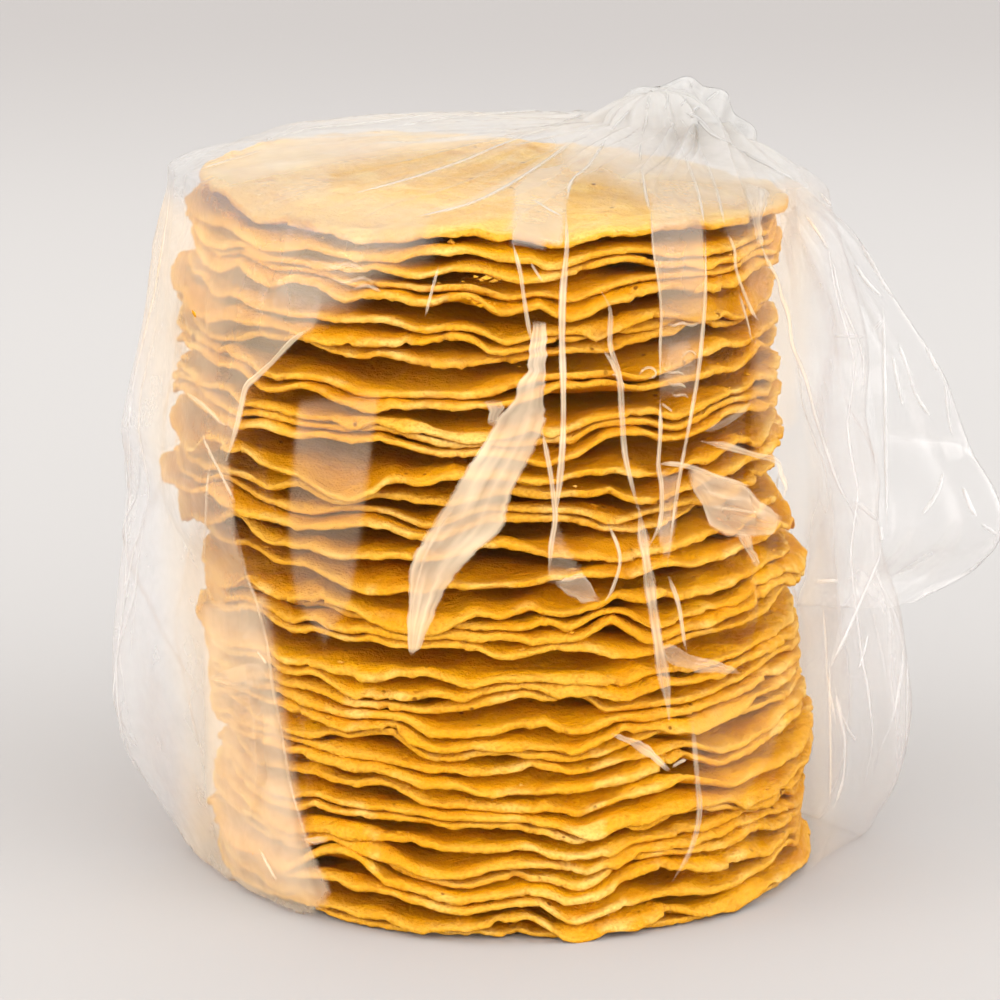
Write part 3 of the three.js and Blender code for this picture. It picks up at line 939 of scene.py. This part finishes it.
def slices(outline, sideways):
    """Lines across an outline, each from one uneven side to the other, in pixels."""
    points = outline[:, ::-1] if sideways else outline
    lines = []
    low, high = points[:, 1].min(), points[:, 1].max()
    for level in np.linspace(low + 0.3, high - 0.3, max(5, int((high - low) / PATCH_STEP))):
        crossings = []
        for a, b in zip(points, np.roll(points, -1, axis=0)):
            if (a[1] > level) != (b[1] > level):
                crossings.append(a[0] + (level - a[1]) * (b[0] - a[0]) / (b[1] - a[1]))
        ragged = [float(noise(level / 5, low, side, 72)) for side in (0, 1)]
        start = min(crossings) - PATCH_FRAY * (1 + ragged[0])
        end = max(crossings) + PATCH_FRAY * (1 + ragged[1])
        across = np.linspace(start, end, PATCH_COLUMNS)
        line = np.stack([across, np.full(PATCH_COLUMNS, level)], axis=1)
        lines.append(line[:, ::-1] if sideways else line)
    return lines


def patch(shape, outline, milk, sideways):
    """A folded-over patch lying on the film, painted milky white as glare, streaked along its length."""
    rows = []
    share = np.linspace(-1, 1, PATCH_COLUMNS)
    for line in slices(outline, sideways):
        hits = [shape.hit(CAMERA_PLACE, sight(x, y)) for x, y in line]
        if None in hits:
            continue
        places = np.array([h[0] for h in hits])
        normals = np.array([h[1] for h in hits])
        lift = 0.1 + 0.3 * (1 - share ** 4) * (1 + 0.5 * noise(share * 3, 0, len(rows) / 30, 73))
        rows.append(places + normals * lift[:, None])
    points = np.stack(rows)
    s = np.arange(len(rows))[:, None]
    chance = outline[0, 0]
    streak = noise(share * 3.2, s / 26, chance, 74) + 0.6 * noise(share * 7, s / 12, chance, 75)
    ends = np.minimum(s, len(rows) - 1 - s) / 4
    glare_cloud = milk * (1.0 + 0.3 * streak) * smooth(0.15 + ends) * smooth((1 - np.abs(share)) * 7 + 0.2)
    return points, np.clip(glare_cloud, 0, 0.9)


def seen_hits(shape, points):
    length = np.linalg.norm(np.diff(points, axis=0), axis=1).sum()
    line = curve_through(points, max(6, int(length / FOLD_STEP)))
    return [shape.hit(CAMERA_PLACE, sight(x, y)) for x, y in line]


def chance_hits(shape, rng):
    """A long upright fold somewhere round the sides or back."""
    turn = FRONT + rng.uniform(1.35, TURN - 1.35)
    low, high = sorted(rng.uniform(4, 150, 2))
    if high - low < 30:
        high = low + 30
    slant = rng.normal(0, 0.12)
    heights = np.arange(low, min(high, 150), CHANCE_FOLD_STEP)
    sway = rng.uniform(0, 50)
    hits = []
    for z in heights:
        a = turn + slant * (z - low) / 60 + 0.05 * float(noise(z / 22, sway, 0, 61))
        way = np.array([-math.cos(a), -math.sin(a), 0])
        hits.append(shape.hit(-way * 200 + np.array([0, 0, z]), way))
    return hits


def sheen(vertices):
    """How glossy film is: not where it lies flat on the ground."""
    return smooth(vertices[:, 2] / 3)


def warmth(vertices):
    """How much painted light, bounced from the corn, tints the film's haze: most where it lies on the stack.
    """
    x, y, z = vertices.T
    on_stack = 1 - smooth((np.hypot(x - lean(z), y) - 71) / 8)
    return on_stack * (1 - 0.8 * smooth((z - 150) / 10))


def add_film(name, vertices, faces, material, milk):
    """A piece of film, with the numbers that its material asks for."""
    piece = add_mesh(
        name, vertices, faces, material,
        milk=milk, sheen=sheen(vertices), warmth=warmth(vertices),
    )
    return piece


def make_folds(shape, material):
    made = []
    for points, width, milk in SEEN_FOLDS:
        width = FOLD_WIDENING * width * PIXEL_SIZE
        made += ribbons(seen_hits(shape, pixels(points)), width, FOLD_GLARE * milk)
    for outline, milk, sideways in GLARE_PATCHES:
        made.append(patch(shape, pixels(outline), milk, sideways))
    rng = np.random.default_rng(5)
    for _ in range(CHANCE_FOLDS):
        made += ribbons(chance_hits(shape, rng), rng.uniform(0.45, 1.2), rng.uniform(0.3, 0.65))
    vertices, faces, milk, start = [], [], [], 0
    for points, glare_cloud in made:
        points[..., 2] = np.maximum(points[..., 2], 0.05)
        stations, across = glare_cloud.shape
        faces += grid_faces(start + np.arange(stations * across).reshape(stations, across)).tolist()
        vertices.append(points.reshape(-1, 3))
        milk.append(glare_cloud.ravel())
        start += stations * across
    return add_film("film_folds", np.vstack(vertices), faces, material, np.concatenate(milk))


def mesh_normals(vertices, faces):
    """Mean normals of a mesh's points."""
    quads = np.array([face for face in faces if len(face) == 4])
    corner = [vertices[quads[:, k]] for k in range(3)]
    flat = np.cross(corner[1] - corner[0], corner[2] - corner[0])
    total = np.zeros_like(vertices)
    for k in range(4):
        np.add.at(total, quads[:, k], flat)
    return total


def make_film(stack, material):
    rings, bag_milk = bag_rings(stack)
    bag_shape = loft(rings)
    bag_milk = np.concatenate([*bag_milk, [0, 0.5]])
    wing = sheet(WING_ROOT, WING_EDGE, 150, 72, 210, (3.2, 1.6, 0.35), 1.0)
    fan = sheet(FAN_ROOT, FAN_EDGE, 90, 44, 260, (4.5, 1.3, 0.2), 0.8)
    pieces = []
    for name, (vertices, faces), milk in (
        ("bag_film", bag_shape, bag_milk),
        ("film_wing", wing[:2], wing[2]),
        ("film_fan", fan[:2], fan[2] + 0.2),
    ):
        near = veil_glare(vertices, mesh_normals(vertices, faces))
        pieces.append(add_film(name, vertices, faces, material, np.maximum(milk, near)))
    shape = FilmShape([bag_shape, wing[:2], fan[:2]])
    pieces.append(make_folds(shape, material))
    return pieces, shape


# ---- Crumbs ----

CHANCE_CRUMBS = 140

# Crumbs that stand out in the photograph, against the film: pixels, and the size
# in millimetres.
SEEN_CRUMBS = [
    (474, 277, 0.5), (480, 280, 0.8), (487, 278, 0.9), (494, 281, 0.7), (500, 279, 0.5), (463, 282, 0.4),
    (468, 299, 0.5), (474, 303, 0.8), (481, 306, 0.6), (478, 298, 0.4), (489, 303, 0.4), (457, 296, 0.3),
    (399, 833, 0.5), (268, 799, 0.4), (378, 887, 0.6), (519, 366, 0.4), (576, 487, 0.35), (322, 238, 0.3),
]


def crumb_places(stack, shape, rng):
    """Where each crumb lies and its size."""
    places = []
    for x, y, size in SEEN_CRUMBS:
        hit = shape.hit(CAMERA_PLACE, sight(x, y))
        places.append((hit[0] - hit[1] * 0.5, size))
    for _ in range(CHANCE_CRUMBS):
        index = int(TOSTADA_COUNT * rng.uniform(0, 1) ** 1.3)
        tostada = stack[min(index, TOSTADA_COUNT - 2)]
        k = int(rng.integers(0, RIM_STEPS))
        out = tostada.rim[k] - rng.uniform(0.4, 2.5)
        turn = tostada.angles[k]
        size = rng.uniform(0.25, 0.75)
        x = tostada.middle[0] + out * math.cos(turn)
        y = tostada.middle[1] + out * math.sin(turn)
        z = float(tostada.top_at(np.array([x]), np.array([y]))[0]) + size * 0.5
        places.append((np.array([x, y, z]), size))
    return places


def make_crumbs(stack, shape, material):
    """Small chips caught at the rims and against the film."""
    rng = np.random.default_rng(31)
    vertices, faces, rim, start = [], [], [], 0
    for place, size in crumb_places(stack, shape, rng):
        chip = rng.normal(0, 1, (6, 3))
        chip = np.array([(1, 0, 0), (0, 1, 0), (-1, 0, 0), (0, -1, 0), (0, 0, 1), (0, 0, -1)]) + 0.3 * chip
        vertices.append(chip * size * np.array([1.2, 1.0, 0.6]) + place)
        for a in range(4):
            b = (a + 1) % 4
            faces += [[start + a, start + b, start + 4], [start + b, start + a, start + 5]]
        rim += [rng.uniform(0.3, 1)] * 6
        start += 6
    toast = np.zeros(len(rim))
    piece = add_mesh("crumbs", np.vstack(vertices), faces, material, False, rim=rim, toast=toast)
    return piece


# ---- Materials ----

CORN_SHINE = 0.02
FLOOR_SHINE = 0.1


class Nodes:
    """Short calls for building the node tree of a material or of the world."""

    def __init__(self, owner, output="OutputMaterial"):
        self.owner = owner
        owner.use_nodes = True
        self.tree = owner.node_tree
        self.tree.nodes.clear()
        self.output = self.add(output)

    def add(self, kind, *values, settings=None, **inputs):
        """A node, with its first sockets fed in order and others by name."""
        node = self.tree.nodes.new("ShaderNode" + kind)
        for key, value in (settings or {}).items():
            setattr(node, key, value)
        for socket, value in zip(node.inputs, values):
            self.feed(socket, value)
        for key, value in inputs.items():
            self.feed(node.inputs[key.replace("_", " ")], value)
        return node

    def feed(self, socket, value):
        if isinstance(value, bpy.types.NodeSocket):
            self.tree.links.new(value, socket)
        else:
            socket.default_value = value

    def math(self, operation, a, b=0.0, clamp=False):
        settings = {"operation": operation, "use_clamp": clamp}
        return self.add("Math", a, b, settings=settings).outputs[0]

    def times(self, a, b):
        return self.math("MULTIPLY", a, b)

    def noise(self, where, scale, detail=2.0, roughness=0.5):
        node = self.add("TexNoise", Vector=where, Scale=scale, Detail=detail, Roughness=roughness)
        return node.outputs["Fac"]

    def mix(self, share, a, b):
        """A colour that turns from one into another."""
        node = self.add("Mix", share, settings={"data_type": "RGBA"})
        self.feed(node.inputs[6], (*a, 1) if isinstance(a, tuple) else a)
        self.feed(node.inputs[7], (*b, 1) if isinstance(b, tuple) else b)
        return node.outputs[2]

    def ramp(self, value, low, high, start=0.0, end=1.0):
        settings = {"interpolation_type": "SMOOTHSTEP"}
        return self.add("MapRange", value, low, high, start, end, settings=settings).outputs["Result"]

    def attribute(self, name):
        return self.add("Attribute", settings={"attribute_name": name}).outputs["Fac"]

    def place(self):
        return self.add("TexCoord").outputs["Object"]

    def along(self, where, axis):
        return self.add("SeparateXYZ", where).outputs[axis]

    def mix_shader(self, share, a, b):
        return self.add("MixShader", share, a, b).outputs[0]

    def finish(self, shader):
        self.feed(self.output.inputs["Surface"], shader)
        return self.owner


# Colours of the corn.
FACE_DEEP = (0.71, 0.275, 0.001)
FACE_LIGHT = (0.79, 0.36, 0.0015)
FACE_PATCH = (0.82, 0.42, 0.005)
# The faces' painted shade, with deeper toasting.
FACE_SHADED_TOASTED = (0.44, 0.13, 0.001)
EDGE_DEEP = (0.76, 0.35, 0.018)
EDGE_LIGHT = (0.80, 0.42, 0.05)
EDGE_PATCH = (0.88, 0.56, 0.14)
# Painted light on the top one's face.
TOP_PALE_LIT = (0.86, 0.66, 0.24)
GRAIN_BROWN = (0.42, 0.13, 0.001)
PATCH_BROWN = (0.44, 0.13, 0.002)
SPECK_BROWN = (0.20, 0.055, 0.003)


def tostada_material():
    n = Nodes(bpy.data.materials.new("tostada"))
    where = n.place()
    rim = n.attribute("rim")
    broad = n.ramp(n.noise(where, 55, 3), 0.35, 0.65)
    patch = n.ramp(n.noise(where, 160, 4, 0.6), 0.4, 0.66)
    grain = n.noise(where, 1300, 3, 0.65)
    face = n.mix(broad, FACE_DEEP, FACE_LIGHT)
    face = n.mix(n.times(patch, 0.45), face, FACE_PATCH)
    # Painted shade, with deeper toasting, darkens the faces of the upper middle ones.
    face = n.mix(n.attribute("toast"), face, FACE_SHADED_TOASTED)
    edge = n.mix(broad, EDGE_DEEP, EDGE_LIGHT)
    edge = n.mix(n.ramp(n.noise(where, 85, 3), 0.5, 0.7), edge, EDGE_PATCH)
    # Painted light: the top one's face turns pale.
    edge = n.mix(n.ramp(rim, 1.0, 2.0), edge, TOP_PALE_LIT)
    # The rim's own paler colour, with a painted highlight along its top.
    colour = n.mix(rim, face, edge)
    colour = n.mix(n.ramp(grain, 0.3, 0.55, 0.45, 0.0), colour, GRAIN_BROWN)
    brown = n.ramp(n.noise(where, 70, 4, 0.65), 0.55, 0.75)
    colour = n.mix(n.times(brown, 0.5), colour, PATCH_BROWN)
    cells = n.add("TexVoronoi", Vector=where, Scale=190.0, settings={"feature": "F1"})
    speck = n.ramp(cells.outputs["Distance"], 0.14, 0.07)
    chosen = n.ramp(n.noise(where, 120, 1), 0.49, 0.57)
    colour = n.mix(n.times(n.times(speck, chosen), 0.85), colour, SPECK_BROWN)
    height = n.math("ADD", n.times(grain, 0.5), n.noise(where, 420, 3))
    bump = n.add("Bump", Strength=1.0, Distance=0.0012, Height=height)
    shader = n.add("BsdfPrincipled", Base_Color=colour, Normal=bump.outputs["Normal"])
    n.feed(shader.inputs["Roughness"], n.ramp(patch, 0, 1, 0.5, 0.7))
    shader.inputs["Specular IOR Level"].default_value = CORN_SHINE
    return n.finish(shader.outputs[0])


# Colours of the film's haze: off the stack; on the stack, tinted by painted light bounced from the corn;
# over the top, darkened as painted shade; and where film over the top is thick, darker still as painted
# shade.
HAZE_CLEAR = (0.79, 0.77, 0.758)
HAZE_BOUNCE = (0.99, 0.80, 0.55)
HAZE_TOP_SHADE = (0.59, 0.585, 0.57)
HAZE_THICK_SHADE = (0.56, 0.55, 0.54)


def film_material():
    n = Nodes(bpy.data.materials.new("film"))
    where = n.place()
    milk = n.attribute("milk")
    glossy = n.attribute("sheen")
    wide = n.noise(where, 90, 3)
    crumple = n.math("ADD", n.times(wide, 2.0), n.noise(where, 420, 4, 0.6))
    bump = n.add("Bump", Strength=0.5, Distance=0.0008, Height=crumple).outputs["Normal"]
    facing = n.add("LayerWeight", Blend=0.5, Normal=bump).outputs["Facing"]
    gloss_share = n.times(n.math("POWER", facing, 4.0), 0.24)
    gloss_share = n.math("ADD", gloss_share, n.ramp(milk, 0.0, 0.4, 0.0015, 0.07), True)
    gloss_share = n.times(gloss_share, glossy)
    clear = n.add("BsdfTransparent").outputs[0]
    gloss = n.add("BsdfGlossy", Roughness=0.08, Normal=bump).outputs[0]
    film = n.mix_shader(gloss_share, clear, gloss)
    height = n.along(where, "Z")
    # Painted light bounced from the corn tints the haze on the stack.
    white = n.mix(n.attribute("warmth"), HAZE_CLEAR, HAZE_BOUNCE)
    # Painted shade: the haze over the top, and where it is thick there, is darker.
    white = n.mix(n.ramp(height, 0.148, 0.156), white, HAZE_TOP_SHADE)
    thick_shade = n.times(n.ramp(milk, 0.5, 0.8), n.ramp(height, 0.145, 0.158))
    white = n.mix(thick_shade, white, HAZE_THICK_SHADE)
    back = n.add("BsdfDiffuse", Color=white).outputs[0]
    through = n.add("BsdfTranslucent", Color=white).outputs[0]
    haze = n.mix_shader(0.25, back, through)
    # How milky: partly the film's own haze, partly painted glare and reflections of the lights.
    share = n.math("MULTIPLY", milk, n.ramp(wide, 0.2, 0.8, 0.8, 1.15), True)
    soft = n.times(n.math("POWER", facing, 3.0), n.times(glossy, 0.1))
    share = n.math("ADD", share, soft, True)
    return n.finish(n.mix_shader(share, film, haze))


# The floor's two tones near by, and a darker tone farther back: painted shade where the light falls off.
FLOOR_TONES = [(0.463, 0.450, 0.440), (0.476, 0.463, 0.452)]
FLOOR_FAR_SHADE = (0.370, 0.352, 0.343)


def floor_material():
    n = Nodes(bpy.data.materials.new("floor"))
    where = n.place()
    colour = n.mix(n.noise(where, 3, 2), *FLOOR_TONES)
    # Painted shade: the floor darkens farther back.
    colour = n.mix(n.ramp(n.along(where, "Y"), 0.5, 1.6), colour, FLOOR_FAR_SHADE)
    shader = n.add("BsdfPrincipled", Base_Color=colour, Roughness=0.9)
    shader.inputs["Specular IOR Level"].default_value = FLOOR_SHINE
    return n.finish(shader.outputs[0])


# ---- Stage, light and camera ----

FLOOR_REACH = 12000


def make_floor():
    corners = [(x * FLOOR_REACH, y * FLOOR_REACH, 0) for x, y in ((-1, -1), (1, -1), (1, 1), (-1, 1))]
    floor = add_mesh("floor", corners, [(0, 1, 2, 3)], floor_material(), False)


# Soft studio lights, as broad glows all round the scene: where each stands, how
# bright its middle is, and how narrow it is.
GLOWS = [
    ((-1050, -450, 520), 5.4, 12.0),
    ((1050, -600, 520), 5.5, 12.0),
    ((0, -1200, 640), 4.0, 10.0),
    ((0, 350, 1300), 0.4, 6.0),
    ((0, 1200, 400), 1.1, 10.0),
]
ALL_ROUND = (0.86, 0.834, 0.817, 1)
BACKDROP = (0.74, 0.70, 0.68, 1)


def make_light():
    world = bpy.data.worlds.new("studio")
    bpy.context.scene.world = world
    world.cycles.sampling_method = "NONE"
    n = Nodes(world, "OutputWorld")
    way = n.add("TexCoord").outputs["Generated"]
    total = 0.0
    for place, peak, narrowness in GLOWS:
        towards = Vector(place).normalized()
        near = n.add("VectorMath", way, towards, settings={"operation": "DOT_PRODUCT"})
        near = n.math("MAXIMUM", near.outputs["Value"], 0.0)
        total = n.math("ADD", n.times(n.math("POWER", near, narrowness), peak), total)
    even = n.add("Background", Color=ALL_ROUND).outputs[0]
    glows = n.add("Background", Strength=total).outputs[0]
    both = n.add("AddShader", even, glows).outputs[0]
    seen = n.add("LightPath").outputs["Is Camera Ray"]
    n.finish(n.mix_shader(seen, both, n.add("Background", Color=BACKDROP).outputs[0]))


def make_camera():
    camera = bpy.data.cameras.new("camera")
    camera.sensor_width = 36
    camera.lens = FOCAL_PIXELS / PICTURE_PIXELS * camera.sensor_width
    camera.clip_end = 100
    eye = bpy.data.objects.new("camera", camera)
    bpy.context.scene.collection.objects.link(eye)
    eye.location = (CAMERA_PLACE * MM).tolist()
    eye.rotation_euler = (math.pi / 2 - CAMERA_PITCH, 0, 0)
    bpy.context.scene.camera = eye


bpy.context.scene.view_settings.view_transform = "Standard"
bpy.context.scene.cycles.transparent_max_bounces = 24
make_camera()
make_light()
make_floor()
stack = make_stack()
corn = tostada_material()
pieces = [tostada.build(corn) for tostada in stack]
film, film_shape = make_film(stack, film_material())
pieces += [*film, make_crumbs(stack, film_shape, corn)]
for piece in pieces:
    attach(piece, "root")
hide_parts("bag")
